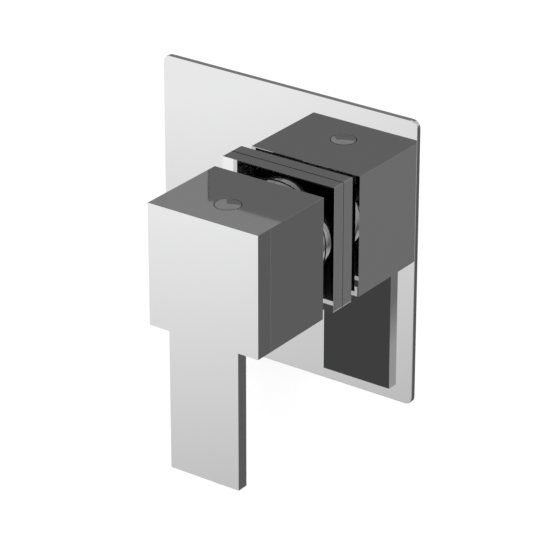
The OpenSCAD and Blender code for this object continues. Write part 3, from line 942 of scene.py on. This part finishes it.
def makeWorld(boxes, tones):
    world = bpy.data.worlds.new("studioWorld")
    world.use_nodes = True
    tree = world.node_tree
    bpy.context.scene.world = world
    direction = addNode(tree, "ShaderNodeTexCoord").outputs["Generated"]
    parts = addNode(tree, "ShaderNodeSeparateXYZ")
    tree.links.new(direction, parts.inputs[0])
    across, back, height = parts.outputs
    ahead = mapRange(tree, back, 0.0, tones["aheadEdge"], 0.0, 1.0)
    inFront = mapRange(tree, height, -tones["height"], tones["height"], tones["low"], tones["high"])
    behind = mapRange(tree, height, -tones["height"], tones["height"], tones["backLow"], tones["backHigh"])
    light = mixNumbers(tree, ahead, behind, inFront)
    belowFlag = mapRange(tree, height, tones["flagLow"], tones["flagHigh"], 1.0, 0.0)
    for box in boxes:
        middle = directionOf(box["azimuth"], box["elevation"])
        angle = mathNode(tree, "ARCCOSINE", vectorNode(tree, "DOT_PRODUCT", direction, middle)["Value"])
        outer = math.radians(box["outer"])
        share = mapRange(tree, angle, outer, math.radians(box["inner"]), 0.0, box["light"])
        if box["flag"]:
            share = times(tree, share, belowFlag)
        light = mathNode(tree, "ADD", light, share)
    forward = mathNode(tree, "MAXIMUM", times(tree, back, -1.0), tones["leastForward"])
    sideSlope = mathNode(tree, "DIVIDE", across, forward)
    topSlope = mathNode(tree, "DIVIDE", height, forward)
    edge = tones["flagEdge"]
    left = tones["flagLeft"]
    top = tones["flagTop"]
    rightOfLeft = mapRange(tree, sideSlope, left - edge, left + edge, 0.0, 1.0)
    underTop = mapRange(tree, topSlope, top - edge, top + edge, 1.0, 0.0)
    offFlag = mathNode(tree, "SUBTRACT", 1.0, times(tree, rightOfLeft, underTop))
    rising = mapRange(tree, height, tones["flagLow"], tones["flagHigh"], 0.0, tones["pastFlag"])
    fading = mapRange(tree, height, tones["fadeStart"], tones["fadeEnd"], 1.0, 0.0)
    past = times(tree, times(tree, offFlag, rising), fading)
    offRim = mathNode(tree, "ABSOLUTE", mathNode(tree, "SUBTRACT", sideSlope, left - tones["flagRim"]))
    atRim = mathNode(tree, "LESS_THAN", offRim, tones["flagRim"])
    aboveFoot = mathNode(tree, "GREATER_THAN", height, tones["flagLow"])
    belowTop = mathNode(tree, "LESS_THAN", topSlope, top)
    rim = times(tree, atRim, times(tree, aboveFoot, belowTop))
    past = mathNode(tree, "SUBTRACT", past, times(tree, rim, tones["rimShade"] + tones["pastFlag"]))
    light = mathNode(tree, "ADD", light, times(tree, past, ahead))
    colour = addNode(tree, "ShaderNodeCombineColor")
    for channel in colour.inputs:
        tree.links.new(light, channel)
    background = tree.nodes["Background"]
    tree.links.new(colour.outputs[0], background.inputs["Color"])


makeWorld(softBoxes, sky)

# Area lamps, aimed at the valve. The three behind also show in polished and cast metal
lamps = [
    {"name": "keyLamp", "azimuth": -15.0, "elevation": 72.0, "distance": 1.8, "size": 2.0,
     "power": 10.0, "mirrored": False},
    {"name": "backLeftLamp", "azimuth": -150.0, "elevation": 6.0, "distance": 1.5, "size": 0.5,
     "power": 14.0, "mirrored": True},
    {"name": "backTopLamp", "azimuth": 176.0, "elevation": 74.0, "distance": 1.6, "size": 1.6,
     "power": 14.0, "mirrored": True},
    {"name": "backRightLamp", "azimuth": 108.0, "elevation": 30.0, "distance": 1.6, "size": 1.6,
     "power": 13.0, "mirrored": True},
]
# A wide, soft sun for the wall, the floor and what isn't mirror-polished
sun = {"azimuth": 34.0, "elevation": 27.0, "strength": 3.1, "angle": 90.0}


def aimAt(lamp, direction):
    lamp.rotation_mode = "QUATERNION"
    lamp.rotation_quaternion = direction.to_track_quat("Z", "Y")


def makeLamps(areas, sunlight):
    for settings in areas:
        data = bpy.data.lights.new(settings["name"], "AREA")
        data.size = settings["size"]
        data.energy = settings["power"]
        lamp = bpy.data.objects.new(settings["name"], data)
        direction = directionOf(settings["azimuth"], settings["elevation"])
        lamp.location = direction * settings["distance"]
        lamp.visible_glossy = settings["mirrored"]
        aimAt(lamp, direction)
        bpy.context.scene.collection.objects.link(lamp)
    data = bpy.data.lights.new("sunLamp", "SUN")
    data.energy = sunlight["strength"]
    data.angle = math.radians(sunlight["angle"])
    lamp = bpy.data.objects.new("sunLamp", data)
    aimAt(lamp, directionOf(sunlight["azimuth"], sunlight["elevation"]))
    lamp.visible_glossy = False
    bpy.context.scene.collection.objects.link(lamp)


makeLamps(lamps, sun)
bpy.context.scene.view_settings.view_transform = "Standard"
print("studio lit")
